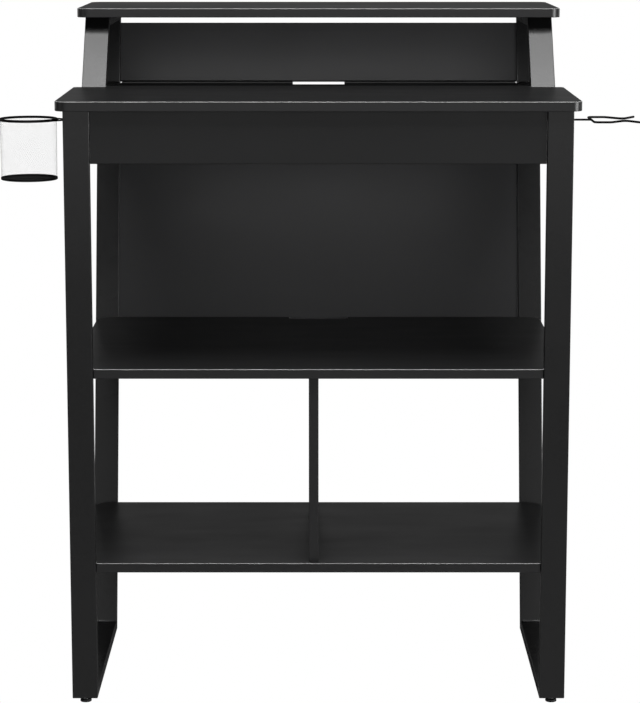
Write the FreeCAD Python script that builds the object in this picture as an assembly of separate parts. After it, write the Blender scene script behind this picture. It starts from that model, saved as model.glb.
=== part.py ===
"""Two-tier standing desk on two leaning side frames, with a mesh cup and a twin-prong hook.

All sizes are in millimetres. X runs from left to right, Y from the front to the back and Z up.
The desk is laid out from the front face of its front legs (Y = 0) and from the underside of its
steel frame (Z = 0). Each piece is moved when it is written, so that the finished desk stands on
the plane Z = 0 with the middle of its outer box on the Z axis.
"""
import FreeCAD, Part
import math
import os

V = FreeCAD.Vector

# Overall layout
desk_width = 805.0           # desktop and top shelf, left to right
desk_side_overhang = 12.5    # desktop beyond the outer face of a side frame
desktop_height = 945.0       # top of the desktop, above the underside of the frame
top_shelf_rise = 125.0       # top of the top shelf above the top of the desktop
middle_shelf_height = 530.0
lower_shelf_height = 220.0

# Flat steel tube of the side frames
tube_face = 40.0             # wide side, seen from the front
tube_depth = 15.0
tube_wall = 1.5
tube_edge_radius = 1.2
upright_foot = 379.0         # front face of a rear upright at Z = 0
upright_lean = math.radians(14.5)
riser_gap = 1.0              # between the desktop's ear and the riser behind it
riser_lean = math.radians(38.5)

# Boards
board_thickness = 15.0
panel_thickness = 12.0
board_ease = 1.0             # rounding of the long board edges
board_corner_radius = 20.0   # outer corners of the desktop and the top shelf
ear_corner_radius = 8.0      # rear corners of the desktop's ears
cut_corner_radius = 3.0      # corners cut to fit round the frame
fitting_gap = 0.5            # between a back panel or the desktop and the steel beside it
edge_gap = 0.5               # between a shelf's edge and a leg or rail
desktop_overhang = 10.0      # in front of the legs
desktop_ear_depth = 320.0    # over the side rails
desktop_depth = 350.0        # between the risers
apron_height = 81.0
apron_setback = 3.0
apron_end_gap = 1.0          # between the apron and a leg
deck_under_desktop = 40.0
deck_rear_past_upright = 56.0
top_shelf_front_overhang = 30.0   # in front of the risers
top_shelf_rear_overhang = 12.0    # behind the uprights
shelf_setback = 2.0
shelf_side_inset = 4.5       # shelf behind the legs, inside the outer face of a side frame
shelf_rear_corner_radius = 30.0
lower_shelf_rear_gap = 14.0
divider_setback = 13.5
divider_rear_gap = 6.0
cable_notch_width = 92.0
cable_notch_depth = 84.0
shelf_notch_width = 100.0
shelf_notch_depth = 23.0
upper_panel_gap = 4.0        # above the rear deck
upper_panel_height = 104.0
lower_panel_gap = 1.0        # below the rear deck

# Fixings
plate_thickness = 3.0
tab_width = 30.0
tab_length = 40.0
tab_hole_inset = 14.0
joining_plate_length = 60.0
joining_plate_hole_spacing = 34.0
bracket_thickness = 2.0
bracket_width = 40.0
bracket_leg = 30.0
bracket_spacing = 250.0
screw_radius = 2.5
screw_head_radius = 4.6
screw_head_height = 2.6
screw_socket_radius = 1.7
screw_socket_depth = 1.5
screw_hole_gap = 0.05
board_bite = 11.0            # how far a screw goes into a board
panel_bite = 9.0
desktop_screw_places = (105.0, 265.0)
top_shelf_screw_inset = 50.0 # from both ends of the upper rail
dowel_radius = 4.0
dowel_length = 24.0
dowel_depth_in_shelf = 9.0
dowel_inset = 60.0           # from both ends of the divider
divider_screw_inset = 130.0

# Levelling glides
glide_height = 9.0           # below the frame when screwed right in
glide_inset = 15.0           # from either end of the floor rail
glide_pad_radius = 9.0
glide_pad_thickness = 4.6
glide_pad_rounding = 1.6
glide_stem_radius = 4.0
glide_stem_socket = 2.0
glide_collar_flats = 11.0
glide_seat_gap = 0.3
glide_running_gap = 0.05
glide_stem_clearance = 1.5   # under the upper wall of the floor rail
glide_nut_radius = 7.0
glide_nut_height = 8.0
glide_hole_radius = 4.6

# Cup and hook
accessory_wire_radius = 2.0
accessory_place = 50.0       # middle of both plates, behind the front of the legs
accessory_plate_width = 44.0
accessory_plate_inset = 4.0  # inside both faces of the side rail
cup_ring_gap = 10.8          # between the ring and the side frame
cup_ring_outer_radius = 46.8
cup_ring_wire_radius = 1.3
cup_arm_turn = math.radians(36)   # where an arm leaves the ring, from the side of the frame
cup_arm_spacing = 9.0        # between the arms' ends at the plate
cup_arm_radius = 1.2
cup_rim_wire_radius = 1.0
cup_rest_gap = 0.3
cup_seat_gap = 0.2           # between the top of the mesh wall and the rim wire
cup_wall_thickness = 0.6
cup_wall_gap = 0.3           # between the mesh wall and the ring
cup_height = 95.0
cup_taper = 0.8              # the foot of the wall is this much smaller in radius than its top
cup_base_thickness = 1.2
cup_base_lip = 4.0
hook_wire_radius = 1.75
hook_stem_radius = 1.6
hook_bar_offset = 31.0       # crossbar beyond the side rail
hook_bar_length = 97.0
hook_prong_run = 26.0        # straight part of a prong, next to the crossbar
hook_neck_width = 34.0       # where the prongs come closest
hook_neck_setback = 21.0     # from the neck to the tips
hook_mouth_width = 108.0     # between the tips
hook_bend_radius = 7.0

# Worked out from the values above
frame_side = desk_width / 2 - desk_side_overhang
accessory_reach = frame_side + cup_ring_gap + 2 * cup_ring_outer_radius
tube_inner_side = frame_side - tube_face
tube_middle = frame_side - tube_face / 2
rail_top = desktop_height - board_thickness
rail_bottom = rail_top - tube_depth
frame_top = rail_top + top_shelf_rise
ear_rear = desktop_ear_depth - desktop_overhang
desktop_rear = desktop_depth - desktop_overhang
riser_foot = ear_rear + riser_gap
deck_front = desktop_rear - deck_under_desktop
upper_panel_bottom = rail_top + upper_panel_gap
lean_sine = math.sin(upright_lean)
lean_cosine = math.cos(upright_lean)
deck_thickness = tube_depth  # the deck fills the space between the side rails
panel_recess = tube_depth - panel_thickness
shelf_fit_side = tube_inner_side - edge_gap
panel_fit_side = tube_inner_side - fitting_gap



def upright_front(z):
    """Y of a rear upright's front face at height z."""
    return upright_foot + z * math.tan(upright_lean)


def upright_rear(z):
    return upright_front(z) + tube_depth / lean_cosine


def riser_front(z):
    return riser_foot + (z - rail_top) * math.tan(riser_lean)


def riser_rear(z):
    return riser_front(z) + tube_depth / math.cos(riser_lean)


def height_along_lean(z, behind_front):
    """Distance up the leaning plane to the point at height z, this far behind its front face."""
    return (z + behind_front * lean_sine) / lean_cosine


top_shelf_front = riser_front(frame_top) - top_shelf_front_overhang
top_shelf_rear = upright_rear(frame_top) + top_shelf_rear_overhang
lower_shelf_rear = upright_front(lower_shelf_height - board_thickness) - lower_shelf_rear_gap
deck_rear = upright_front(rail_top) + deck_rear_past_upright
divider_rear = lower_shelf_rear - divider_rear_gap
middle_of_depth = (top_shelf_rear - desktop_overhang) / 2

UP = V(0, 0, 1)
shapes = {}


# Shape helpers

def box(low, high):
    size = [high[i] - low[i] for i in range(3)]
    return Part.makeBox(size[0], size[1], size[2], V(*low))


def cylinder(radius, start, direction, length):
    return Part.makeCylinder(radius, length, start, direction)


def side_prism(points, x_low, x_high):
    """Outline of (y, z) points, pulled from x_low to x_high."""
    corners = [V(x_low, y, z) for y, z in points]
    face = Part.Face(Part.makePolygon(corners + [corners[0]]))
    return face.extrude(V(x_high - x_low, 0, 0))


def both_sides(half):
    """Corners of a right half, from front to back, followed by their mirror image."""
    return half + [(-x, y, radius) for x, y, radius in reversed(half)]


def rounded_outline(corners, z):
    """Closed wire through (x, y, radius) corners, each with its own rounding."""
    rounded = []
    count = len(corners)
    for i, (x, y, radius) in enumerate(corners):
        here = V(x, y, z)
        back = (V(corners[i - 1][0], corners[i - 1][1], z) - here).normalize()
        ahead = (V(corners[(i + 1) % count][0], corners[(i + 1) % count][1], z) - here).normalize()
        half_angle = back.getAngle(ahead) / 2
        reach = radius / math.tan(half_angle)
        bisector = (back + ahead).normalize()
        middle = here + bisector * (radius / math.sin(half_angle) - radius)
        rounded.append((here + back * reach, middle, here + ahead * reach))
    edges = []
    for i, (start, middle, end) in enumerate(rounded):
        edges.append(Part.Arc(start, middle, end).toShape())
        edges.append(Part.LineSegment(end, rounded[(i + 1) % count][0]).toShape())
    return Part.Wire(edges)


def is_level(edge, z):
    return all(abs(vertex.Z - z) < 1e-6 for vertex in edge.Vertexes)


def board(corners, z_low, thickness=board_thickness):
    """Flat board with the given plan, its top and bottom edges eased."""
    plate = Part.Face(rounded_outline(corners, z_low)).extrude(V(0, 0, thickness))
    z_high = z_low + thickness
    rims = [edge for edge in plate.Edges if is_level(edge, z_low) or is_level(edge, z_high)]
    return plate.makeFillet(board_ease, rims)


def eased_box(low, high, along):
    """Box whose four edges parallel to the direction along are eased."""
    block = box(low, high)
    long_edges = [edge for edge in block.Edges if is_parallel(edge, along)]
    return block.makeFillet(board_ease, long_edges)


def is_parallel(edge, along):
    run = edge.Vertexes[-1].Point - edge.Vertexes[0].Point
    return abs(run.normalize().dot(along)) > 0.9999


def tube(outer_start, outer_end, inner_end, inner_start, side):
    """Hollow flat tube of a side frame. The four (y, z) corners give its outline seen from the
    side, so that its ends can be mitred. side is -1 on the left and 1 on the right."""
    x_low = min(side * tube_inner_side, side * frame_side)
    along = V(0, outer_end[0] - outer_start[0], outer_end[1] - outer_start[1]).normalize()
    solid = side_prism([outer_start, outer_end, inner_end, inner_start], x_low, x_low + tube_face)
    long_edges = [edge for edge in solid.Edges if is_parallel(edge, along)]
    solid = solid.makeFillet(tube_edge_radius, long_edges)

    share = tube_wall / tube_depth

    def between(a, b, part):
        return (a[0] + (b[0] - a[0]) * part, a[1] + (b[1] - a[1]) * part)

    hollow = side_prism([between(outer_start, inner_start, share),
                         between(outer_end, inner_end, share),
                         between(inner_end, outer_end, share),
                         between(inner_start, outer_start, share)],
                        x_low + tube_wall, x_low + tube_face - tube_wall)
    return solid.cut(hollow)


def lean_back(shape):
    """Put a shape made upright, with Y = 0 as the uprights' front face, into their plane."""
    shape.rotate(V(0, 0, 0), V(1, 0, 0), -math.degrees(upright_lean))
    shape.translate(V(0, upright_foot, 0))
    return shape


def screw(seat, direction, length):
    """Pan-head screw: the head stands on seat and the shank runs along direction."""
    head = cylinder(screw_head_radius, seat, direction * -1, screw_head_height)
    rim = [edge for edge in head.Edges if len(edge.Vertexes) == 1]
    outer = [edge for edge in rim if (edge.CenterOfMass - seat).Length > screw_head_height / 2]
    head = head.makeFillet(screw_head_height / 3, outer)
    shank = cylinder(screw_radius, seat, direction, length)
    top = seat - direction * screw_head_height
    socket = cylinder(screw_socket_radius, top, direction, screw_socket_depth)
    return head.fuse(shank).removeSplitter().cut(socket)


def drill(names, seat, direction, depth, radius=screw_radius + screw_hole_gap):
    """Cut a round hole through every named piece."""
    tool = cylinder(radius, seat - direction * 0.5, direction, depth + 1.0)
    for name in names:
        shapes[name] = shapes[name].cut(tool)


def write(name, shape):
    placed = shape.copy()
    placed.translate(V(0, -middle_of_depth, glide_height))
    placed.exportStep("parts/" + name + ".step")


# Steel side frames

def make_side_frame(word, side):
    foot_end = (upright_rear(0), 0)
    foot_inner = (upright_front(tube_depth), tube_depth)
    head_outer = (upright_rear(frame_top), frame_top)
    head_inner = (upright_front(frame_top - tube_depth), frame_top - tube_depth)
    riser_head_outer = (riser_front(frame_top), frame_top)
    riser_head_inner = (riser_rear(frame_top - tube_depth), frame_top - tube_depth)
    members = {
        "front_leg": ((0, 0), (0, rail_top), (tube_depth, rail_bottom), (tube_depth, tube_depth)),
        "floor_rail": (foot_end, (0, 0), (tube_depth, tube_depth), foot_inner),
        "rear_upright": (head_outer, foot_end, foot_inner, head_inner),
        "side_rail": ((0, rail_top), (upright_front(rail_top), rail_top),
                      (upright_front(rail_bottom), rail_bottom), (tube_depth, rail_bottom)),
        "riser": ((riser_front(rail_top), rail_top), riser_head_outer,
                  riser_head_inner, (riser_rear(rail_top), rail_top)),
        "upper_rail": (riser_head_outer, head_outer, head_inner, riser_head_inner),
    }
    for member, corners in members.items():
        shapes[word + "_" + member] = tube(*corners, side)


# Boards

def make_boards():
    half_width = desk_width / 2
    shapes["desktop"] = board(both_sides([
        (half_width, -desktop_overhang, board_corner_radius),
        (half_width, ear_rear, ear_corner_radius),
        (panel_fit_side, ear_rear, cut_corner_radius),
        (panel_fit_side, desktop_rear, cut_corner_radius),
    ]), rail_top)
    shapes["apron"] = eased_box(
        (apron_end_gap - tube_inner_side, apron_setback, rail_top - apron_height),
        (tube_inner_side - apron_end_gap, apron_setback + board_thickness, rail_top), V(1, 0, 0))
    shapes["rear_deck"] = board(both_sides([
        (shelf_fit_side, deck_front, cut_corner_radius),
        (shelf_fit_side, deck_rear, cut_corner_radius),
        (cable_notch_width / 2, deck_rear, cut_corner_radius),
        (cable_notch_width / 2, deck_rear - cable_notch_depth, cut_corner_radius),
    ]), rail_bottom, deck_thickness)
    shapes["top_shelf"] = board(both_sides([
        (half_width, top_shelf_front, board_corner_radius),
        (half_width, top_shelf_rear, board_corner_radius),
    ]), frame_top)
    middle_rear = upright_front(middle_shelf_height - board_thickness)
    shapes["middle_shelf"] = shelf(middle_shelf_height, middle_rear, [
        (shelf_notch_width / 2, middle_rear, cut_corner_radius),
        (shelf_notch_width / 2, middle_rear - shelf_notch_depth, cut_corner_radius),
    ])
    shapes["lower_shelf"] = shelf(lower_shelf_height, lower_shelf_rear, [])
    shapes["divider"] = eased_box(
        (-board_thickness, divider_setback, lower_shelf_height),
        (0, divider_rear, middle_shelf_height - board_thickness), UP)
    bottom = height_along_lean(upper_panel_bottom, panel_recess)
    shapes["upper_back_panel"] = back_panel(bottom, bottom + upper_panel_height)
    shapes["lower_back_panel"] = back_panel(*lower_panel_span())


def lower_panel_span():
    """Ends of the lower back panel, measured up the leaning plane."""
    bottom = height_along_lean(middle_shelf_height - board_thickness, tube_depth)
    top = height_along_lean(rail_bottom - lower_panel_gap, panel_recess)
    return bottom, top


def shelf(top, rear, notch):
    """Shelf that passes between the front legs and widens behind them."""
    half_width = frame_side - shelf_side_inset
    behind_legs = tube_depth + edge_gap
    right_half = [
        (shelf_fit_side, shelf_setback, board_ease + 0.5),
        (shelf_fit_side, behind_legs, board_ease + 0.5),
        (half_width, behind_legs, cut_corner_radius),
        (half_width, rear, shelf_rear_corner_radius),
    ]
    return board(both_sides(right_half + notch), top - board_thickness)


def back_panel(low, high):
    return lean_back(eased_box((-panel_fit_side, panel_recess, low),
                               (panel_fit_side, tube_depth, high), V(1, 0, 0)))


# Tabs, plates and brackets

def make_shelf_tabs():
    """Tabs on the legs and uprights that carry both shelves, each with one screw."""
    tabs = []
    screws = []
    for shelf_name, top in (("middle_shelf", middle_shelf_height),
                            ("lower_shelf", lower_shelf_height)):
        high = top - board_thickness
        low = high - plate_thickness
        rear_start = shapes[shelf_name].BoundBox.YMax - tab_length
        for side in (-1, 1):
            x_low = side * tube_middle - tab_width / 2
            front_tab = box((x_low, tube_depth, low), (x_low + tab_width, tube_depth + tab_length, high))
            rear_tab = side_prism([(rear_start, low), (upright_front(low), low),
                                   (upright_front(high), high), (rear_start, high)],
                                  x_low, x_low + tab_width)
            front_hole = V(side * tube_middle, tube_depth + tab_length - tab_hole_inset, low)
            rear_hole = V(side * tube_middle, rear_start + tab_hole_inset, low)
            for tab, seat in ((front_tab, front_hole), (rear_tab, rear_hole)):
                hole = cylinder(screw_radius + screw_hole_gap, seat, UP, plate_thickness)
                tabs.append(tab.cut(hole))
                drill([shelf_name], seat, UP, board_bite)
                screws.append(screw(seat, UP, board_bite))
    shapes["shelf_tabs"] = Part.makeCompound(tabs)
    shapes["shelf_screws"] = Part.makeCompound(screws)


def plate_with_screws(upright, side):
    """Flat plate made across X at the frame's inner face, with its two screws. The plate's near
    face is at Y = 0 and the screws run towards -Y. Returns the plate and the two seats."""
    x_low = side * tube_inner_side - joining_plate_length / 2
    plate = box((x_low, 0, upright - tab_width / 2),
                (x_low + joining_plate_length, plate_thickness, upright + tab_width / 2))
    seats = []
    for step in (-1, 1):
        x = side * tube_inner_side + step * side * joining_plate_hole_spacing / 2
        seat = V(x, plate_thickness, upright)
        plate = plate.cut(cylinder(screw_radius + screw_hole_gap, seat, V(0, -1, 0), plate_thickness))
        seats.append(seat)
    return plate, seats


def make_joining_plates():
    """Plates that tie the back panels to the uprights and the rear deck to the side rails."""
    plates = []
    screws = []

    def add(plate, seats, place, board_name, steel_name, bite):
        plates.append(place(plate))
        for seat, name, length in zip(seats, (board_name, steel_name),
                                      (plate_thickness + bite, plate_thickness + tube_wall + 2)):
            screws.append(place(screw(seat, V(0, -1, 0), length)))
            hole = place(cylinder(screw_radius + screw_hole_gap, seat, V(0, -1, 0), length + 0.3))
            shapes[name] = shapes[name].cut(hole)

    def behind_uprights(shape):
        shape.translate(V(0, tube_depth, 0))
        return lean_back(shape)

    def under_rails(shape):
        shape.rotate(V(0, 0, 0), V(1, 0, 0), -90)
        shape.translate(V(0, 0, rail_bottom))
        return shape

    upper_low = height_along_lean(upper_panel_bottom, panel_recess)
    lower_low, lower_high = lower_panel_span()
    spans = (("upper_back_panel", upper_low, upper_low + upper_panel_height),
             ("lower_back_panel", lower_low, lower_high))
    for word, side in (("left", -1), ("right", 1)):
        for panel_name, low, high in spans:
            inset = tab_width / 2 + (high - low) / 20
            for place_up in (low + inset, high - inset):
                plate, seats = plate_with_screws(place_up, side)
                add(plate, seats, behind_uprights, panel_name, word + "_rear_upright", panel_bite)
        for y in (deck_front + 2 * tab_width, upright_front(rail_bottom) - 2 * tab_width):
            plate, seats = plate_with_screws(y, side)
            add(plate, seats, under_rails, "rear_deck", word + "_side_rail",
                board_bite - plate_thickness)
    shapes["joining_plates"] = Part.makeCompound(plates)
    shapes["plate_screws"] = Part.makeCompound(screws)


def make_apron_brackets():
    """Angle brackets that hang the apron from the desktop."""
    brackets = []
    screws = []
    back = apron_setback + board_thickness
    inset = bracket_leg * 0.6
    for place in (-bracket_spacing, 0, bracket_spacing):
        x_low = place - bracket_width / 2
        x_high = place + bracket_width / 2
        upright_leg = box((x_low, back, rail_top - bracket_leg),
                          (x_high, back + bracket_thickness, rail_top))
        level_leg = box((x_low, back, rail_top - bracket_thickness),
                        (x_high, back + bracket_leg, rail_top))
        bracket = upright_leg.fuse(level_leg).removeSplitter()
        into_apron = V(place, back + bracket_thickness, rail_top - inset)
        into_desktop = V(place, back + inset, rail_top - bracket_thickness)
        for seat, direction, name in ((into_apron, V(0, -1, 0), "apron"),
                                      (into_desktop, UP, "desktop")):
            bracket = bracket.cut(cylinder(screw_radius + screw_hole_gap, seat, direction,
                                           bracket_thickness))
            drill([name], seat, direction, board_bite)
            screws.append(screw(seat, direction, board_bite))
        brackets.append(bracket)
    shapes["apron_brackets"] = Part.makeCompound(brackets)
    shapes["bracket_screws"] = Part.makeCompound(screws)


def make_long_screws():
    """Screws from below, through the whole tube and into the board that lies on it."""
    length = tube_depth + board_bite
    upper_low = frame_top - tube_depth
    upper_places = (riser_rear(upper_low) + top_shelf_screw_inset,
                    upright_front(upper_low) - top_shelf_screw_inset)
    for name, tube_name, low, places in (
            ("desktop", "side_rail", rail_bottom, desktop_screw_places),
            ("top_shelf", "upper_rail", upper_low, upper_places)):
        screws = []
        for word, side in (("left", -1), ("right", 1)):
            for y in places:
                seat = V(side * tube_middle, y, low)
                drill([word + "_" + tube_name, name], seat, UP, length)
                screws.append(screw(seat, UP, length))
        shapes[name + "_screws"] = Part.makeCompound(screws)


def make_divider_fixings():
    """Dowels at both ends of the divider and screws up through the lower shelf."""
    x = -board_thickness / 2
    dowels = []
    shelf_top = lower_shelf_height
    shelf_under = middle_shelf_height - board_thickness
    for y in (divider_setback + dowel_inset, divider_rear - dowel_inset):
        for start, name in ((shelf_top - dowel_depth_in_shelf, "lower_shelf"),
                            (shelf_under + dowel_depth_in_shelf - dowel_length, "middle_shelf")):
            dowels.append(cylinder(dowel_radius, V(x, y, start), UP, dowel_length))
            hole = cylinder(dowel_radius + screw_hole_gap, V(x, y, start), UP, dowel_length)
            for piece in (name, "divider"):
                shapes[piece] = shapes[piece].cut(hole)
    shapes["divider_dowels"] = Part.makeCompound(dowels)
    screws = []
    for y in (divider_setback + divider_screw_inset, divider_rear - divider_screw_inset):
        seat = V(x, y, lower_shelf_height - board_thickness)
        length = board_thickness + 2 * board_bite
        drill(["lower_shelf", "divider"], seat, UP, length)
        screws.append(screw(seat, UP, length))
    shapes["divider_screws"] = Part.makeCompound(screws)


# Levelling glides

def hexagon_prism(flats, low, height, centre):
    points = []
    for i in range(7):
        angle = math.radians(60 * i)
        reach = flats / 2 / math.cos(math.radians(30))
        points.append(V(centre.x + reach * math.cos(angle), centre.y + reach * math.sin(angle), low))
    return Part.Face(Part.makePolygon(points)).extrude(V(0, 0, height))


def make_glides():
    """Threaded stem with its collar, plastic pad, and the nut inside the floor rail."""
    nuts = []
    rear_place = upright_rear(0) - glide_inset
    for depth_word, y in (("front", glide_inset), ("rear", rear_place)):
        for word, side in (("left", -1), ("right", 1)):
            centre = V(side * tube_middle, y, 0)
            place = depth_word + "_" + word
            drill([word + "_floor_rail"], centre, UP, tube_wall, glide_hole_radius)
            nut = cylinder(glide_nut_radius, centre + UP * tube_wall, UP, glide_nut_height)
            thread = cylinder(glide_stem_radius + glide_running_gap, centre, UP, tube_depth)
            nuts.append(nut.cut(thread))
            pad_top = glide_pad_thickness - glide_height
            pad = cylinder(glide_pad_radius, V(centre.x, y, -glide_height), UP, glide_pad_thickness)
            rims = [edge for edge in pad.Edges if len(edge.Vertexes) == 1]
            pad = pad.makeFillet(glide_pad_rounding, rims)
            stem_start = V(centre.x, y, pad_top - glide_stem_socket)
            socket = cylinder(glide_stem_radius, stem_start, UP, glide_stem_socket)
            shapes["glide_pad_" + place] = pad.cut(socket)
            stem_top = tube_depth - tube_wall - glide_stem_clearance
            stem = cylinder(glide_stem_radius, stem_start, UP, stem_top - stem_start.z)
            collar = hexagon_prism(glide_collar_flats, pad_top, -glide_seat_gap - pad_top, centre)
            shapes["glide_stem_" + place] = stem.fuse(collar).removeSplitter()
    shapes["glide_nuts"] = Part.makeCompound(nuts)


# Cup, its ring and the hook

def make_accessory_plates():
    """Plates screwed under the side rails, one for the cup ring and one for the hook."""
    plates = []
    screws = []
    low = rail_bottom - 2 * accessory_wire_radius
    for word, side in (("left", -1), ("right", 1)):
        x_inner = side * (tube_inner_side + accessory_plate_inset)
        x_outer = side * (frame_side - accessory_plate_inset)
        half = accessory_plate_width / 2
        plate = box((min(x_inner, x_outer), accessory_place - half, low),
                    (max(x_inner, x_outer), accessory_place + half, rail_bottom))
        for step in (-1, 1):
            seat = V(side * tube_middle, accessory_place + step * half / 2, low)
            length = 2 * accessory_wire_radius + tube_wall + 2
            plate = plate.cut(cylinder(screw_radius + screw_hole_gap, seat, UP, length))
            drill([word + "_side_rail"], seat, UP, length)
            screws.append(screw(seat, UP, length))
        plates.append(plate)
    shapes["accessory_plates"] = Part.makeCompound(plates)
    shapes["accessory_screws"] = Part.makeCompound(screws)


def accessory_level():
    return rail_bottom - accessory_wire_radius


def make_cup():
    """Wire ring on two arms that close up towards the desk, and the mesh cup that hangs in it."""
    level = accessory_level()
    centre = V(-accessory_reach + cup_ring_outer_radius, accessory_place, level)
    ring_radius = cup_ring_outer_radius - cup_ring_wire_radius
    ring = Part.makeTorus(ring_radius, cup_ring_wire_radius, centre, UP)
    arm_root = -(frame_side - accessory_plate_inset)
    beyond_root = box((arm_root, centre.y - ring_radius, level - ring_radius),
                      (arm_root + ring_radius, centre.y + ring_radius, level + ring_radius))
    for step in (-1, 1):
        start = centre + V(math.cos(cup_arm_turn), step * math.sin(cup_arm_turn), 0) * ring_radius
        run = V(arm_root, centre.y + step * cup_arm_spacing / 2, level) - start
        arm = cylinder(cup_arm_radius, start, run, run.Length + 2 * cup_arm_radius)
        ring = ring.fuse(arm.cut(beyond_root))
    shapes["cup_ring"] = ring

    wall_outer = ring_radius - cup_ring_wire_radius - cup_wall_gap
    rim_radius = wall_outer - cup_wall_thickness / 2
    reach = cup_ring_wire_radius + cup_rim_wire_radius + cup_rest_gap
    rise = math.sqrt(reach ** 2 - (ring_radius - rim_radius) ** 2)
    rim_level = level + rise
    rim_centre = V(centre.x, centre.y, rim_level)
    rim = Part.makeTorus(rim_radius, cup_rim_wire_radius, rim_centre, UP)
    rim_seat = Part.makeTorus(rim_radius, cup_rim_wire_radius + cup_seat_gap, rim_centre, UP)
    base_level = rim_level + cup_rim_wire_radius - cup_height
    base_outer = wall_outer - cup_taper
    wall_low = base_level + cup_base_thickness
    wall_profile = [
        (base_outer - cup_wall_thickness, wall_low), (base_outer, wall_low),
        (wall_outer, rim_level), (wall_outer - cup_wall_thickness, rim_level),
    ]
    wall = turned(wall_profile, centre).cut(rim_seat)
    lip = cup_wall_gap
    base_profile = [
        (0, base_level), (base_outer + lip + cup_wall_thickness, base_level),
        (base_outer + lip + cup_wall_thickness, base_level + cup_base_lip),
        (base_outer + lip, base_level + cup_base_lip), (base_outer + lip, wall_low), (0, wall_low),
    ]
    shapes["cup_wall"] = wall
    shapes["cup_rim"] = rim
    shapes["cup_base"] = turned(base_profile, centre)


def turned(profile, centre):
    """Closed (radius, z) outline turned round the vertical line through centre."""
    points = [V(centre.x + radius, centre.y, z) for radius, z in profile]
    face = Part.Face(Part.makePolygon(points + [points[0]]))
    return face.revolve(V(centre.x, centre.y, 0), UP, 360)


def bent_wire(points, bend_radius):
    """Centre line of straight runs joined by tangent arcs."""
    edges = []
    start = points[0]
    for i in range(1, len(points) - 1):
        here = points[i]
        back = (points[i - 1] - here).normalize()
        ahead = (points[i + 1] - here).normalize()
        half_angle = back.getAngle(ahead) / 2
        reach = bend_radius / math.tan(half_angle)
        bisector = (back + ahead).normalize()
        middle = here + bisector * (bend_radius / math.sin(half_angle) - bend_radius)
        edges.append(Part.LineSegment(start, here + back * reach).toShape())
        edges.append(Part.Arc(here + back * reach, middle, here + ahead * reach).toShape())
        start = here + ahead * reach
    edges.append(Part.LineSegment(start, points[-1]).toShape())
    return Part.Wire(edges)


def make_hook():
    """Stem, crossbar and two prongs in one level plane. The prongs close to a neck and flare out."""
    level = accessory_level()
    bar_x = frame_side + hook_bar_offset
    flare = (hook_mouth_width - hook_neck_width) / 2
    tip_slope = math.atan2(hook_neck_setback, flare)
    tip_x = accessory_reach - hook_wire_radius * math.cos(tip_slope)
    neck_x = tip_x - hook_neck_setback
    half_prong = [
        (tip_x, hook_mouth_width / 2),
        (neck_x, hook_neck_width / 2),
        (bar_x + hook_prong_run, hook_bar_length / 2),
        (bar_x, hook_bar_length / 2),
    ]
    near = [V(x, accessory_place - offset, level) for x, offset in half_prong]
    far = [V(x, accessory_place + offset, level) for x, offset in reversed(half_prong)]
    path = bent_wire(near + far, hook_bend_radius)
    profile = Part.Wire(Part.makeCircle(hook_wire_radius, near[0], near[1] - near[0]))
    wire = path.makePipeShell([profile], True, False)
    root = frame_side - accessory_plate_inset
    stem = cylinder(hook_stem_radius, V(root, accessory_place, level), V(1, 0, 0), bar_x - root)
    shapes["hook"] = wire.fuse(stem)


def build():
    os.makedirs("parts", exist_ok=True)
    make_side_frame("left", -1)
    make_side_frame("right", 1)
    make_boards()
    make_shelf_tabs()
    make_joining_plates()
    make_apron_brackets()
    make_long_screws()
    make_divider_fixings()
    make_glides()
    make_accessory_plates()
    make_cup()
    make_hook()
    for name, shape in shapes.items():
        write(name, shape)


build()
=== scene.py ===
"""Finishes and fine parts for a black two-tier standing desk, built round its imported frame.

Lengths are in metres in the frame's own axes: X to the right, Y to the back and Z up.
"""

import math

import bmesh
import bpy
from bpy.props import FloatProperty, FloatVectorProperty, IntProperty, PointerProperty
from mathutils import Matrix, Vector


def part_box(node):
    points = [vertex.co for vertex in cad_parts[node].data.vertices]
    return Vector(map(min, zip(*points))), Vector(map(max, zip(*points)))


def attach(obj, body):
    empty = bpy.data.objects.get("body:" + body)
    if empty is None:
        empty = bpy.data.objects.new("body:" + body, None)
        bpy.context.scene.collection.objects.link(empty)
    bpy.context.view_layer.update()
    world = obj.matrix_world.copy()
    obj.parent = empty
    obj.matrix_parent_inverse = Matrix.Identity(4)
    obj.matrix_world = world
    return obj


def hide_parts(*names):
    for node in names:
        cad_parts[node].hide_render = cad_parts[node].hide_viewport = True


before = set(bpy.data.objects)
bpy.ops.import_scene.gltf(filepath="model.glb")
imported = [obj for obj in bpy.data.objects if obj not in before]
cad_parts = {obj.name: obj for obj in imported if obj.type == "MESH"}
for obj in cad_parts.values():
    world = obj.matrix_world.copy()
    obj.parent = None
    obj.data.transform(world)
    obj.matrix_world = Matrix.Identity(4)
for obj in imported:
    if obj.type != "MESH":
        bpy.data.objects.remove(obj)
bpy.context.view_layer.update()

bl_info = {
    "name": "Two-tier standing desk",
    "version": (1, 0, 0),
    "blender": (4, 5, 0),
    "location": "3D View > Sidebar > Desk",
    "description": "Finishes, screws, mesh cup, glides and studio for a two-tier standing desk",
    "category": "Object",
}

FRAME_BODY = "frame"
CUP_BODY = "mesh_cup"
GLIDES = ("front_left", "front_right", "rear_left", "rear_right")
TUBES = ("floor_rail", "front_leg", "rear_upright", "riser", "side_rail", "upper_rail")
LEVEL_BOARDS = ("desktop", "top_shelf", "middle_shelf", "lower_shelf")
LEANING_BOARDS = ("upper_back_panel", "lower_back_panel")
STEEL_FITTINGS = ("accessory_plates", "apron_brackets", "joining_plates", "shelf_tabs")
SCREW_NODES = ("accessory_screws", "bracket_screws", "desktop_screws", "divider_screws",
               "plate_screws", "shelf_screws", "top_shelf_screws")
UP = Vector((0.0, 0.0, 1.0))


# Values that a user would change

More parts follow.
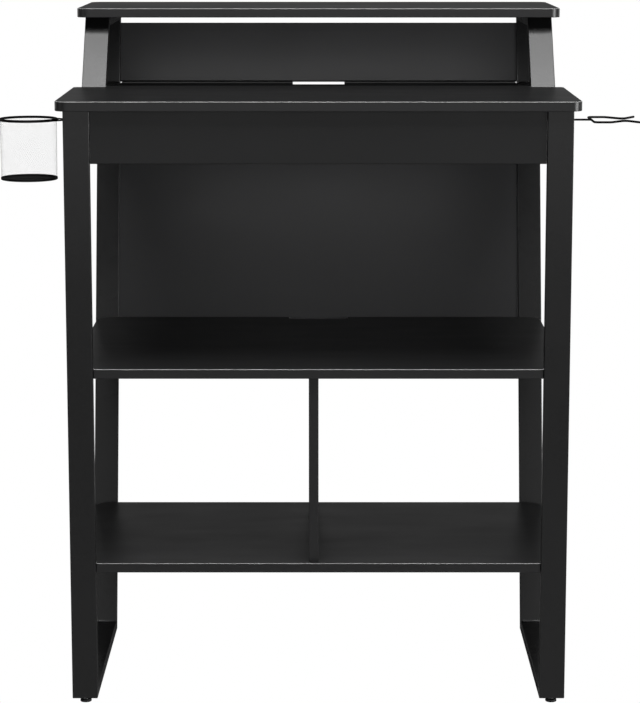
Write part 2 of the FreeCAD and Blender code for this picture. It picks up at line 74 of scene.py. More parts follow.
def length(name, description, default):
    return FloatProperty(name=name, description=description, default=default, min=0.0,
                         precision=5, unit="LENGTH")


def share(name, description, default):
    return FloatProperty(name=name, description=description, default=default, min=0.0, max=1.0,
                         subtype="FACTOR")


def colour(name, description, default):
    return FloatVectorProperty(name=name, description=description, default=default, size=3,
                               min=0.0, max=1.0, subtype="COLOR")


def strength(name, description, default):
    return FloatProperty(name=name, description=description, default=default, min=0.0)


class BoardSettings(bpy.types.PropertyGroup):
    """Black laminate with a banded edge."""
    face: colour("Face", "Laminate on the wide faces", (0.0082, 0.0083, 0.0086))
    # Painted light: a lighter copy of the face laminate for the back panels and the divider,
    # standing in for light that reaches them
    panel: colour("Panel", "Laminate on the back panels and the divider", (0.027, 0.027, 0.028))
    # Painted highlight: a light line on the shelves' eased corners, in place of the lamps'
    # reflection there
    arris: colour("Arris", "Trimmed line where laminate meets edge band", (0.38, 0.38, 0.38))
    # Painted shade: near-black on the eased edges of the apron and the back panels, in place of the
    # shadow in the gaps beside them
    painted_gap_shade: colour("Joint", "Shadowed edge of the apron and the back panels",
                  (0.0008, 0.0008, 0.0008))
    band: colour("Edge band", "Plastic band round the edges", (0.0165, 0.0165, 0.0170))
    face_roughness: share("Face roughness", "Roughness of the laminate", 0.40)
    band_roughness: share("Band roughness", "Roughness of the edge band", 0.36)
    pebble: length("Pebble", "Size of the laminate's pressed texture", 0.0012)
    pebble_height: length("Pebble height", "Depth of the laminate's texture", 0.000012)


class SteelSettings(bpy.types.PropertyGroup):
    """Powder-coated and bare steel."""
    coat: colour("Powder coat", "Coat on the side frames", (0.0076, 0.0076, 0.0078))
    coat_roughness: share("Coat roughness", "Roughness of the powder coat", 0.28)
    peel: length("Orange peel", "Size of the powder coat's ripple", 0.0022)
    peel_height: length("Peel height", "Depth of the ripple", 0.000010)
    wire: colour("Wire coat", "Coat on the ring, the rim and the hook", (0.0012, 0.0012, 0.0013))
    wire_roughness: share("Wire roughness", "Roughness of the wire's coat", 0.45)
    zinc: colour("Zinc", "Plating on the glide stems and nuts", (0.56, 0.57, 0.58))
    zinc_roughness: share("Zinc roughness", "Roughness of the zinc plating", 0.34)
    screw: colour("Black zinc", "Plating on the screws", (0.045, 0.044, 0.046))
    screw_roughness: share("Screw roughness", "Roughness of the screws", 0.42)


class SmallPartSettings(bpy.types.PropertyGroup):
    """Plastic and wood of the hidden small parts."""
    nylon: colour("Nylon", "Glide pads", (0.012, 0.012, 0.012))
    nylon_roughness: share("Nylon roughness", "Roughness of the glide pads", 0.50)
    beech: colour("Beech", "Light tone of the dowels", (0.62, 0.42, 0.25))
    beech_dark: colour("Dark beech", "Dark tone of the dowels", (0.46, 0.28, 0.15))


class CupSettings(bpy.types.PropertyGroup):
    """Steel mesh of the cup."""
    strands: IntProperty(name="Strands", description="Strands that lean each way",
                         default=90, min=12)
    steps: IntProperty(name="Steps", description="Straight pieces in one strand",
                       default=26, min=6)
    turn: FloatProperty(name="Turn", description="How far a strand goes round the cup",
                        default=math.radians(72), subtype="ANGLE")
    strand_width: length("Strand width", "Width of one strand", 0.00007)
    hem: length("Hem", "Folded hem at the top and foot of the wall", 0.0016)


class ScrewSettings(bpy.types.PropertyGroup):
    """Cross-recess pan-head screws and the glides' threads."""
    thread_pitch: length("Screw pitch", "Pitch of the wood screws", 0.0018)
    thread_depth: length("Screw thread depth", "Depth of the wood screws' thread", 0.00055)
    stem_pitch: length("Stem pitch", "Pitch of the glides' machine thread", 0.00125)
    recess_depth: length("Recess depth", "Depth of the cross recess", 0.0014)
    weld_width: length("Weld width", "Width of a weld bead", 0.0034)


class StudioSettings(bpy.types.PropertyGroup):
    """Floor, light and camera."""
    floor: colour("Floor", "Pale floor", (0.38, 0.38, 0.38))
    surroundings: strength("Surroundings", "Brightness of the dim studio round the desk", 0.01)
    front_low: strength("Low front", "Radiance of the wide panel low in front", 0.95)
    front_high: strength("High front", "Radiance of the wide panel high in front", 0.62)
    overhead: strength("Overhead", "Radiance of the softbox above the desktop", 8.9)
    back_low: strength("Low back", "Radiance of the wide panel low behind", 0.33)
    side_fill: strength("Side fill", "Radiance of the two panels at the sides", 0.5)
    rear_fill: strength("Rear fill", "Radiance of the two panels behind the sides", 1.0)
    edge_strip: strength("Edge strip", "Radiance of the softbox in front on the right", 40.0)
    shelf_kicker: strength("Shelf kicker", "Radiance of the strip under the top shelf", 7.4)
    panel_kicker: strength("Panel kicker", "Radiance of the strip under the desktop", 4.5)
    camera_lens: FloatProperty(name="Lens", description="Focal length on a 36 mm sensor",
                               default=129.5, unit="CAMERA")
    camera_side: FloatProperty(name="Camera side", description="Camera's place from left to right",
                               default=0.0025, unit="LENGTH")
    camera_height: length("Camera height", "Height above the floor", 1.2468)
    camera_distance: length("Camera distance", "Distance in front of the middle", 4.1897)
    camera_pitch: FloatProperty(name="Camera pitch", description="Downward tilt",
                                default=math.radians(9.993), subtype="ANGLE")


SETTINGS = {
    "desk_boards": BoardSettings,
    "desk_steel": SteelSettings,
    "desk_small_parts": SmallPartSettings,
    "desk_cup": CupSettings,
    "desk_screws": ScrewSettings,
    "desk_studio": StudioSettings,
}


# Shader building

class Value:
    """One shader socket. Arithmetic on it adds Math nodes."""

    def __init__(self, shader, socket):
        self.shader = shader
        self.socket = socket

    def __add__(self, other):
        return self.shader.maths("ADD", self, other)

    def __radd__(self, other):
        return self.shader.maths("ADD", other, self)

    def __sub__(self, other):
        return self.shader.maths("SUBTRACT", self, other)

    def __rsub__(self, other):
        return self.shader.maths("SUBTRACT", other, self)

    def __mul__(self, other):
        return self.shader.maths("MULTIPLY", self, other)

    def __rmul__(self, other):
        return self.shader.maths("MULTIPLY", other, self)

    def __abs__(self):
        return self.shader.maths("ABSOLUTE", self)


class Shader:
    """Node tree of one material or of the world, emptied and built up node by node."""

    def __init__(self, owner):
        owner.use_nodes = True
        self.tree = owner.node_tree
        self.tree.nodes.clear()

    def add(self, kind, settings=None, sockets=None, output=0):
        """Adds a node, sets its settings and then its sockets, and returns one of its outputs."""
        node = self.tree.nodes.new(kind)
        for name, setting in (settings or {}).items():
            if name == "stops":
                set_stops(node.color_ramp.elements, setting)
            else:
                setattr(node, name, setting)
        for name, value in (sockets or {}).items():
            if isinstance(value, Value):
                self.tree.links.new(value.socket, node.inputs[name])
            else:
                node.inputs[name].default_value = value
        return Value(self, node.outputs[output]) if len(node.outputs) else None

    def maths(self, operation, *values):
        return self.add("ShaderNodeMath", {"operation": operation}, dict(enumerate(values)))

    def mix(self, amount, first, second):
        """Goes from the first colour at 0 to the second at 1."""
        return self.add("ShaderNodeMix", {"data_type": "RGBA"}, {0: amount, 6: first, 7: second}, 2)

    def ease(self, value, low, high):
        """0 below low, 1 above high and smooth between them."""
        return self.add("ShaderNodeMapRange", {"interpolation_type": "SMOOTHSTEP"},
                        {"Value": value, "From Min": low, "From Max": high})

    def place(self, stretch=(1.0, 1.0, 1.0)):
        """Position on the object, in metres, scaled along each axis."""
        where = self.add("ShaderNodeTexCoord", output="Object")
        if stretch == (1.0, 1.0, 1.0):
            return where
        return self.add("ShaderNodeMapping", sockets={"Vector": where, "Scale": stretch})

    def noise(self, where, size, detail=2.0):
        """Noise from 0 to 1 whose lumps are about as large as size."""
        return self.add("ShaderNodeTexNoise",
                        sockets={"Vector": where, "Scale": 1.0 / size, "Detail": detail})

    def pebbles(self, where, size):
        return self.add("ShaderNodeTexVoronoi", {"feature": "SMOOTH_F1"},
                        {"Vector": where, "Scale": 1.0 / size})

    def bump(self, height, depth):
        return self.add("ShaderNodeBump", sockets={"Height": height, "Distance": depth})

    def surface(self, sockets):
        """Principled surface with these socket values, joined to the output."""
        self.finish(self.add("ShaderNodeBsdfPrincipled", sockets=sockets))

    def finish(self, surface, output="ShaderNodeOutputMaterial"):
        self.add(output, sockets={"Surface": surface})


def set_stops(elements, stops):
    """Gives a colour ramp these (position, colour) stops."""
    while len(elements) < len(stops):
        elements.new(1.0)
    for element, (position, stop_colour) in zip(elements, stops):
        element.position = position
        element.color = stop_colour


def rgba(tone, factor=1.0):
    return tuple(min(1.0, channel * factor) for channel in tone) + (1.0,)


CLOUD = 0.16                        # size of the slow drift in a board's tone
SMEAR = 0.045                       # size of the wiped streaks in a board's gloss
GRIT = 0.0004                       # size of the finest specks in a board
COAT_CLOUD = 0.11                   # size of the slow drift in a coat's tone


def laminate(name, settings, tone, across, arris=None, gloss=0.42):
    """Pebbled black laminate on the faces that look along the vector across, a smoother band on
    the edges between them, and a thin line of another tone on the eased corner: a painted
    highlight on the shelves, painted shade on the apron and the back panels. The limits are
    cosines of the angle between the surface and across."""
    material = bpy.data.materials.new(name)
    shader = Shader(material)
    where = shader.place()
    facing = shader.add("ShaderNodeTexCoord", output="Normal")
    along = shader.add("ShaderNodeVectorMath", {"operation": "DOT_PRODUCT"},
                       {0: facing, 1: tuple(across)}, "Value")
    on_face = shader.ease(abs(along), 0.55, 0.8)
    # The eased corner, where the arris tone paints a highlight on the shelves and shade on the
    # apron and back panels
    on_arris = shader.ease(along, 0.15, 0.30) * (1 - shader.ease(along, 0.90, 0.98))
    pebbles = shader.pebbles(where, settings.pebble)
    cloud = shader.noise(where, CLOUD, 3.0)
    smear = shader.noise(shader.place((0.35, 1.0, 1.0)), SMEAR, 4.0)
    grit = shader.noise(where, GRIT, 1.0)
    face = shader.mix(cloud, rgba(tone, 0.88), rgba(tone, 1.12))
    face = shader.mix(shader.ease(grit, 0.62, 0.78), face, rgba(tone, 1.5))
    band = shader.mix(cloud, rgba(settings.band, 0.93), rgba(settings.band, 1.07))
    face_roughness = settings.face_roughness + 0.10 * (smear - 0.5) + 0.06 * (cloud - 0.5)
    band_roughness = settings.band_roughness + 0.06 * (cloud - 0.5)
    roughness = band_roughness + on_face * (face_roughness - band_roughness)
    height = on_face * pebbles + 0.15 * grit
    board = shader.mix(on_face, band, face)
    shader.surface({
        "Base Color": shader.mix(on_arris, board, rgba(arris or settings.arris)),
        "Roughness": roughness,
        "Normal": shader.bump(height, settings.pebble_height),
        "Specular IOR Level": gloss,
    })
    return material


def coated(name, tone, roughness, ripple, ripple_height, metallic=0.0, drift=0.10, gloss=0.5):
    """Sprayed, plated or moulded surface: a slow drift in tone and a fine ripple."""
    material = bpy.data.materials.new(name)
    shader = Shader(material)
    where = shader.place()
    cloud = shader.noise(where, COAT_CLOUD, 3.0)
    peel = shader.noise(where, ripple, 1.5)
    grit = shader.noise(where, ripple / 6, 1.0)
    shader.surface({
        "Base Color": shader.mix(cloud, rgba(tone, 1 - drift), rgba(tone, 1 + drift)),
        "Roughness": roughness + 0.09 * (cloud - 0.5) + 0.05 * (grit - 0.5),
        "Metallic": metallic,
        "Specular IOR Level": gloss,
        "Normal": shader.bump(peel + 0.12 * grit, ripple_height),
    })
    return material


def beech_grain(settings):
    material = bpy.data.materials.new("beech")
    shader = Shader(material)
    rings = shader.noise(shader.place((1.0, 1.0, 0.06)), 0.0009, 3.0)
    flecks = shader.noise(shader.place((1.0, 1.0, 0.2)), 0.0005, 1.0)
    wood = shader.add("ShaderNodeValToRGB", {"stops": (
        (0.35, rgba(settings.beech_dark)),
        (0.62, rgba(settings.beech)),
    )}, {"Fac": rings + 0.25 * (flecks - 0.5)})
    shader.surface({
        "Base Color": wood,
        "Roughness": 0.6 + 0.2 * (flecks - 0.5),
        "Normal": shader.bump(rings, 0.00003),
    })
    return material


def dress(nodes, material):
    """Gives CAD nodes a material in place of their own."""
    for name in nodes:
        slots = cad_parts[name].material_slots
        if not slots:
            raise RuntimeError("CAD node " + name + " has no material slot")
        for material_slot in slots:
            material_slot.material = material


# Mesh building

class Skin:
    """Points and faces of one piece, added ring by ring."""

    def __init__(self):
        self.points = []
        self.faces = []

    def loft(self, rings, capped=(True, True)):
        """Joins rings of equally many points, and closes the first and last with a flat face."""
        start = len(self.points)
        count = len(rings[0])
        for ring in rings:
            self.points.extend(ring)
        for row in range(len(rings) - 1):
            for i in range(count):
                here = start + row * count + i
                after = start + row * count + (i + 1) % count
                self.faces.append((here, after, after + count, here + count))
        if capped[0]:
            self.faces.append(tuple(range(start, start + count))[::-1])
        if capped[1]:
            last = start + (len(rings) - 1) * count
            self.faces.append(tuple(range(last, last + count)))

    def piece(self, name, material, body=FRAME_BODY, stands_for=(), crease=35):
        """Makes the object with its material, hangs it on its body's empty, and hides the CAD nodes
        that it stands for.
        """
        mesh = bpy.data.meshes.new(name)
        mesh.from_pydata([tuple(point) for point in self.points], [], self.faces)
        shell = bmesh.new()
        shell.from_mesh(mesh)
        bmesh.ops.recalc_face_normals(shell, faces=shell.faces)
        shell.to_mesh(mesh)
        shell.free()
        mesh.polygons.foreach_set("use_smooth", [True] * len(mesh.polygons))
        mesh.set_sharp_from_angle(angle=math.radians(crease))
        mesh.materials.append(material)
        made = bpy.data.objects.new(name, mesh)
        bpy.context.scene.collection.objects.link(made)
        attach(made, body)
        if stands_for:
            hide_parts(*stands_for)
        return made


def circle(centre, radius, along, count, turn=0.0):
    """Ring of points round centre, square to the vector along."""
    side = along.orthogonal().normalized()
    other = along.cross(side).normalized()
    return [centre + radius * (math.cos(a) * side + math.sin(a) * other)
            for a in (turn + 2 * math.pi * i / count for i in range(count))]


def turned(profile, centre, along=UP, count=96):
    """Rings of a turned shape, from (radius, distance along the axis) pairs."""
    return [circle(centre + along * height, radius, along, count) for radius, height in profile]


def closed_turning(skin, profile, centre, count=96):
    """Adds a turned shape whose outline is a closed loop that stays clear of the axis."""
    start = len(skin.points)
    rings = turned(profile, centre, count=count)
    skin.loft(rings, (False, False))
    last = start + (len(rings) - 1) * count
    for i in range(count):
        after = (i + 1) % count
        skin.faces.append((last + i, last + after, start + after, start + i))


def add_thread(skin, start, along, extent, radius, depth, pitch, count=24):
    """Adds a screw thread that runs from start along the axis, closed at both ends."""
    side = along.orthogonal().normalized()
    other = along.cross(side).normalized()
    rows = max(6, 2 * int((extent - pitch) / pitch))
    first = len(skin.points)
    for row in range(rows + 1):
        reach = radius - (depth if row % 2 else 0.0)
        for i in range(count):
            angle = 2 * math.pi * i / count
            climb = pitch * (row / 2 + i / count)
            spoke = math.cos(angle) * side + math.sin(angle) * other
            skin.points.append(start + along * climb + spoke * reach)

    def at(row, i):
        return first + row * count + i

    for row in range(rows):
        for i in range(count - 1):
            skin.faces.append((at(row, i), at(row, i + 1), at(row + 1, i + 1), at(row + 1, i)))
    for row in range(rows - 2):
        skin.faces.append((at(row, count - 1), at(row + 2, 0), at(row + 3, 0),
                           at(row + 1, count - 1)))
    near = [at(0, i) for i in range(count)] + [at(2, 0), at(1, 0)]
    far = [at(rows, i) for i in range(count)] + [at(rows - 1, count - 1), at(rows - 2, count - 1)]
    for rim, centre in ((near, start), (far, start + along * (pitch * (rows / 2 + 1)))):
        middle = len(skin.points)
        skin.points.append(centre)
        for i, point in enumerate(rim):
            skin.faces.append((point, rim[(i + 1) % len(rim)], middle))


def solids_of(node):
    """Points of each separate solid in a CAD node."""
    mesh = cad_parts[node].data
    keys = [tuple(round(c * 1e5) for c in vertex.co) for vertex in mesh.vertices]
    leader = {key: key for key in keys}

    def lead(key):
        while leader[key] != key:
            leader[key] = leader[leader[key]]
            key = leader[key]
        return key

    for polygon in mesh.polygons:
        corners = [keys[i] for i in polygon.vertices]
        for corner in corners[1:]:
            leader[lead(corner)] = lead(corners[0])
    groups = {}
    for vertex, key in zip(mesh.vertices, keys):
        groups.setdefault(lead(key), []).append(vertex.co.copy())
    return [groups[key] for key in sorted(groups)]


def frame_lean():
    """Slope of the rear uprights and of the risers, as metres back for each metre up."""
    upright_low, upright_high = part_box("left_rear_upright")
    rail_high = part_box("left_floor_rail")[1]
    upright = (upright_high.y - rail_high.y) / (upright_high.z - upright_low.z)
    riser_low, riser_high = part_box("left_riser")
    riser = (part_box("left_upper_rail")[0].y - riser_low.y) / (riser_high.z - riser_low.z)
    return upright, riser


# Operators

class DESK_OT_boards(bpy.types.Operator):
    """Finish the shelves, the divider, the apron and the back panels in black laminate"""
    bl_idname = "desk.boards"
    bl_label = "Boards"

    def execute(self, context):
        settings = context.scene.desk_boards
        upright_slope, _ = frame_lean()
        leaning = Vector((0.0, 1.0, -upright_slope)).normalized()
        # Painted highlight on the shelves' eased corners
        dress(LEVEL_BOARDS, laminate("laminate_level", settings, settings.face, UP))
        dress(("rear_deck",), laminate("laminate_deck", settings, settings.face, UP,
                                       settings.face, 0.05))
        # Painted light: the divider takes the lighter panel tone
        dress(("divider",), laminate("laminate_divider", settings, settings.panel,
                                     Vector((1.0, 0.0, 0.0)), settings.band))
        # Painted shade on the apron's eased edges
        dress(("apron",), laminate("laminate_apron", settings, settings.face,
                                   Vector((0.0, -1.0, 0.0)), settings.painted_gap_shade))
        # Painted light: the back panels take the lighter panel tone, and painted shade lies on
        # their eased edges
        dress(LEANING_BOARDS, laminate("laminate_leaning", settings, settings.panel, leaning,
                                       settings.painted_gap_shade, 0.30))
        return {"FINISHED"}


class DESK_OT_side_frames(bpy.types.Operator):
    """Finish both steel side frames and the steel fittings in black powder coat"""
    bl_idname = "desk.side_frames"
    bl_label = "Side frames"

    def execute(self, context):
        settings = context.scene.desk_steel
        coat = coated("powder_coat", settings.coat, settings.coat_roughness, settings.peel,
                      settings.peel_height)
        tubes = [side + "_" + tube for side in ("left", "right") for tube in TUBES]
        dress(tubes, coat)
        dress(STEEL_FITTINGS, coat)
        return {"FINISHED"}


class DESK_OT_welds(bpy.types.Operator):
    """Lay rippled weld beads in the inner corners of the side frames"""
    bl_idname = "desk.welds"
    bl_label = "Weld beads"

    def execute(self, context):
        width = context.scene.desk_screws.weld_width
        material = bpy.data.materials["powder_coat"]
        for side in ("left", "right"):
            skin = Skin()
            low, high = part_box(side + "_front_leg")
            for corner, arms in frame_corners(side):
                add_bead(skin, low.x, high.x, corner, arms, width)
            skin.piece(side + "_weld_beads", material, crease=60)
        return {"FINISHED"}


def frame_corners(side):
    """Inner corners of one side frame: each (y, z) with the directions of its two faces."""
    upright_slope, riser_slope = frame_lean()
    lean = Vector((upright_slope, 1.0)).normalized()
    rise = Vector((riser_slope, 1.0)).normalized()
    back = Vector((1.0, 0.0))
    up = Vector((0.0, 1.0))
    floor_low, floor_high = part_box(side + "_floor_rail")
    side_low, side_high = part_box(side + "_side_rail")
    upper_low, upper_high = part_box(side + "_upper_rail")
    riser_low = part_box(side + "_riser")[0]
    depth = floor_high.z - floor_low.z
    leg_back = floor_low.y + depth
    foot_front = floor_high.y - depth * math.hypot(1.0, upright_slope)

    def upright_front(z):
        return foot_front + (z - floor_low.z) * upright_slope

    riser_back = riser_low.y + depth * math.hypot(1.0, riser_slope)
    upper_riser_back = riser_back + (upper_low.z - riser_low.z) * riser_slope
    return [
        (Vector((leg_back, floor_high.z)), (back, up)),
        (Vector((leg_back, side_low.z)), (back, -up)),
        (Vector((upright_front(floor_high.z), floor_high.z)), (-back, lean)),
        (Vector((upright_front(side_low.z), side_low.z)), (-back, -lean)),
        (Vector((upright_front(side_high.z), side_high.z)), (-back, lean)),
        (Vector((upright_front(upper_low.z), upper_low.z)), (-back, -lean)),
        (Vector((riser_back, side_high.z)), (back, rise)),
        (Vector((upper_riser_back, upper_low.z)), (back, -rise)),
    ]


BEAD_INSET = 0.0025                 # from the side of the tube to the end of the bead
BEAD_DROPS = 26
BEAD_STEPS_PER_DROP = 4
BEAD_BENDS = 5                      # flats across the bead's face
BEAD_HOLLOW = 0.22                  # how far the bead's face dips, as a share of its width


def add_bead(skin, x_low, x_high, corner, arms, width):
    """Adds a bead that runs across the tube, with a ripple for each drop of the weld."""
    toe, head = arms
    rings = []
    count = BEAD_DROPS * BEAD_STEPS_PER_DROP
    for i in range(count + 1):
        x = x_low + BEAD_INSET + (x_high - x_low - 2 * BEAD_INSET) * i / count
        end = min(i, count - i) / BEAD_STEPS_PER_DROP
        swell = min(1.0, 0.35 + 0.65 * end)
        swell *= 0.90 + 0.10 * abs(math.sin(math.pi * i / BEAD_STEPS_PER_DROP))
        reach = width * swell
        ring = [corner]
        for bend in range(BEAD_BENDS + 1):
            turn = bend / BEAD_BENDS
            flat = toe * (1 - turn) + head * turn
            ring.append(corner + flat * reach * (1.0 - BEAD_HOLLOW * math.sin(math.pi * turn)))
        rings.append([Vector((x, y, z)) for y, z in ring])
    skin.loft(rings)


class DESK_OT_screws(bpy.types.Operator):
    """Replace every screw with a cross-recess pan-head screw"""
    bl_idname = "desk.screws"
    bl_label = "Screws"

    def execute(self, context):
        settings = context.scene.desk_screws
        steel = context.scene.desk_steel
        material = coated("black_zinc", steel.screw, steel.screw_roughness, 0.0012, 0.000006, 0.75)
        upright_slope, _ = frame_lean()
        leaning = Vector((0.0, 1.0, -upright_slope)).normalized()
        for node in SCREW_NODES:
            skin = Skin()
            for points in solids_of(node):
                add_screw(skin, points, (UP, Vector((0.0, 1.0, 0.0)), leaning), settings)
            skin.piece(node + "_cross_head", material, stands_for=(node,))
        return {"FINISHED"}


def screw_measures(points, axes):
    """Direction, seat, head radius and height, shank radius and length of one screw."""
    centre = sum(points, Vector()) / len(points)

    def off_axis(point, axis):
        offset = point - centre
        return (offset - axis * offset.dot(axis)).length

    axis = min(axes, key=lambda a: max(off_axis(point, a) for point in points))
    head_radius = max(off_axis(point, axis) for point in points)
    heights = [(point - centre).dot(axis) for point in points]
    head = [h for point, h in zip(points, heights) if off_axis(point, axis) > 0.7 * head_radius]
    if sum(head) / len(head) > (min(heights) + max(heights)) / 2:
        axis = -axis
        heights = [-h for h in heights]
        head = [-h for h in head]
    seat = max(head)
    tip = max(heights)
    rim = [off_axis(point, axis) for point, h in zip(points, heights) if h > tip - 1e-5]
    return axis, centre + axis * seat, head_radius, seat - min(heights), max(rim), tip - seat


CROSS_HALF_ARM = 0.105              # half a recess arm's width, as a share of the head's radius
CROSS_ARM = 0.46                    # the arm's reach, as a share of the head's radius
# Shares of the head's radius and height, from the flat round the recess down to the seat
HEAD_PROFILE = ((0.62, 0.975), (0.76, 0.90), (0.88, 0.76), (0.96, 0.56), (1.0, 0.32),
                (1.0, 0.06), (0.985, 0.0))


def add_screw(skin, points, axes, settings):
    """Adds a screw with a cross recess and a threaded shank in the place of these points."""
    axis, seat, head_radius, head_height, shank_radius, reach = screw_measures(points, axes)
    side = axis.orthogonal().normalized()
    other = axis.cross(side).normalized()
    half_arm = head_radius * CROSS_HALF_ARM
    arm = head_radius * CROSS_ARM
    tip_turn = math.degrees(math.atan2(half_arm, arm))
    turns = [quarter + step for quarter in (0, 90, 180, 270)
             for step in (-tip_turn, 0.0, tip_turn, 29.0, 45.0, 61.0)]

    def cross_reach(degrees):
        """Distance from the middle to the side of the cross, at this turn."""
        folded = abs((degrees + 45) % 90 - 45)
        if folded <= tip_turn + 1e-6:
            return arm / math.cos(math.radians(folded))
        return half_arm / math.sin(math.radians(folded))

    def ring(reaches, height):
        return [seat - axis * height + reach_out * (math.cos(math.radians(turn)) * side
                + math.sin(math.radians(turn)) * other) for turn, reach_out in zip(turns, reaches)]

    cross = [cross_reach(turn) for turn in turns]
    dome = head_height * 0.985
    rings = [
        ring([0.45 * reach_out for reach_out in cross], dome - settings.recess_depth),
        ring([0.86 * reach_out for reach_out in cross], dome - 0.25 * settings.recess_depth),
        ring(cross, dome),
    ]
    for share_out, share_up in HEAD_PROFILE:
        rings.append(ring([head_radius * share_out] * len(turns), head_height * share_up))
    rings.append(ring([shank_radius] * len(turns), 0.0))
    rings.append(ring([shank_radius] * len(turns), -0.0006))
    skin.loft(rings)
    add_thread(skin, seat + axis * 0.0005, axis, reach - 0.0010, shank_radius,
               settings.thread_depth, settings.thread_pitch, count=16)


class DESK_OT_glides(bpy.types.Operator):
    """Build the four levelling glides: threaded stem, hexagon collar and ribbed pad"""
    bl_idname = "desk.glides"
    bl_label = "Levelling glides"

    def execute(self, context):
        steel = context.scene.desk_steel
        small = context.scene.desk_small_parts
        settings = context.scene.desk_screws
        zinc = coated("zinc_plate", steel.zinc, steel.zinc_roughness, 0.0016, 0.000005, 1.0, 0.06)
        nylon = coated("black_nylon", small.nylon, small.nylon_roughness, 0.0006, 0.00001)
        dress(("glide_nuts",), zinc)
        for place in GLIDES:
            body = "glide_" + place
            add_glide(place, body, zinc, nylon, settings)
        return {"FINISHED"}


PAD_RIBS = 30
PAD_STEPS_PER_RIB = 4
PAD_RIB_DEPTH = 0.022               # half a rib's depth, as a share of the pad's radius
# Shares of the pad's radius and height from the foot up, and whether the ribs show there
PAD_PROFILE = (
    (0.30, 0.10, 0), (0.66, 0.07, 0), (0.74, 0.0, 0), (0.86, 0.0, 0), (0.95, 0.07, 0),
    (1.0, 0.24, 1), (1.0, 0.62, 1), (0.95, 0.86, 0), (0.84, 1.0, 0), (0.70, 1.0, 0),
    (0.66, 0.94, 0),
)
STEM_RADIUS = 0.00395
STEM_THREAD_DEPTH = 0.00065
COLLAR_GAP = 0.0003                 # under the floor rail
COLLAR_BEVEL = 0.0004


def add_glide(place, body, zinc, nylon, settings):
    pad_low, pad_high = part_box("glide_pad_" + place)
    stem_low, stem_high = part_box("glide_stem_" + place)
    centre = Vector(((pad_low.x + pad_high.x) / 2, (pad_low.y + pad_high.y) / 2, 0.0))
    pad_radius = (pad_high.x - pad_low.x) / 2
    count = PAD_RIBS * PAD_STEPS_PER_RIB
    rings = []
    for radius, height, ribbed in PAD_PROFILE:
        ring = []
        for i in range(count):
            angle = 2 * math.pi * i / count
            dip = PAD_RIB_DEPTH * (1 - math.cos(2 * math.pi * i / PAD_STEPS_PER_RIB)) * ribbed
            spoke = Vector((math.cos(angle), math.sin(angle), 0.0))
            level = pad_low.z + (pad_high.z - pad_low.z) * height
            ring.append(centre + spoke * pad_radius * (radius - dip) + UP * level)
        rings.append(ring)
    pad = Skin()
    pad.loft(rings)
    pad.piece("glide_pad_" + place + "_ribbed", nylon, body,
              ("glide_pad_" + place,), 40)

    flats = (stem_high.y - stem_low.y) / 2
    collar_low = pad_high.z
    collar_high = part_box("left_floor_rail")[0].z - COLLAR_GAP
    stem = Skin()
    corner = flats / math.cos(math.radians(30))

    def hexagon(across, height):
        """Twenty-four points round a hexagon, cut back to a circle of radius across."""
        points = []
        half_side = math.radians(30)
        for i in range(24):
            angle = math.radians(15 * i)
            edge = flats / math.cos((angle + half_side) % (2 * half_side) - half_side)
            reach = min(edge, across)
            points.append(centre + Vector((math.sin(angle), math.cos(angle), 0.0)) * reach
                          + UP * height)
        return points

    stem.loft([
        hexagon(flats * 0.98, collar_low), hexagon(corner, collar_low + COLLAR_BEVEL),
        hexagon(corner, collar_high - COLLAR_BEVEL), hexagon(flats * 0.98, collar_high),
    ])
    add_thread(stem, centre + UP * (collar_high - 0.0004), UP, stem_high.z - collar_high,
               STEM_RADIUS, STEM_THREAD_DEPTH, settings.stem_pitch)
    stem.loft(turned(((STEM_RADIUS * 0.9, stem_low.z), (STEM_RADIUS * 0.9, collar_low + 0.0005)),
                     centre, count=24))
    stem.piece("glide_stem_" + place + "_threaded", zinc, body,
               ("glide_stem_" + place,), 30)


class DESK_OT_dowels(bpy.types.Operator):
    """Finish the divider's dowels in beech"""
    bl_idname = "desk.dowels"
    bl_label = "Dowels"

    def execute(self, context):
        dress(("divider_dowels",), beech_grain(context.scene.desk_small_parts))
        return {"FINISHED"}


class DESK_OT_ring_and_hook(bpy.types.Operator):
    """Finish the cup's ring, its rim wire and the hook in black wire coat"""
    bl_idname = "desk.ring_and_hook"
    bl_label = "Ring and hook"

    def execute(self, context):
        steel = context.scene.desk_steel
        wire = coated("wire_coat", steel.wire, steel.wire_roughness, 0.0015, 0.000008, gloss=0.08)
        dress(("cup_ring", "cup_rim", "hook"), wire)
        return {"FINISHED"}


class DESK_OT_mesh_cup(bpy.types.Operator):
    """Weave the cup's wall from fine steel strands, and press its base"""
    bl_idname = "desk.mesh_cup"
    bl_label = "Mesh cup"

    def execute(self, context):
        settings = context.scene.desk_cup
        steel = context.scene.desk_steel
        add_cup_wall(settings, coated("mesh_coat", steel.wire, steel.wire_roughness,
                                      *CUP_RIPPLE, gloss=0.35))
        add_cup_base(coated("base_coat", steel.coat, 0.65, *CUP_RIPPLE, gloss=0.1))
        return {"FINISHED"}


CUP_RIPPLE = (0.0009, 0.000006)     # size and depth of the ripple in the cup's coat


def cup_measures():
    """Axis, top and foot of the cup's wall: centre, radii and heights."""
    wall_low, wall_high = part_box("cup_wall")
    base_low, base_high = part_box("cup_base")
    centre = Vector(((wall_low.x + wall_high.x) / 2, (wall_low.y + wall_high.y) / 2, 0.0))
    top_radius = (wall_high.x - wall_low.x) / 2 - 0.0003
    foot_radius = (base_high.x - base_low.x) / 2 - 0.0012
    return centre, top_radius, foot_radius, wall_high.z, wall_low.z


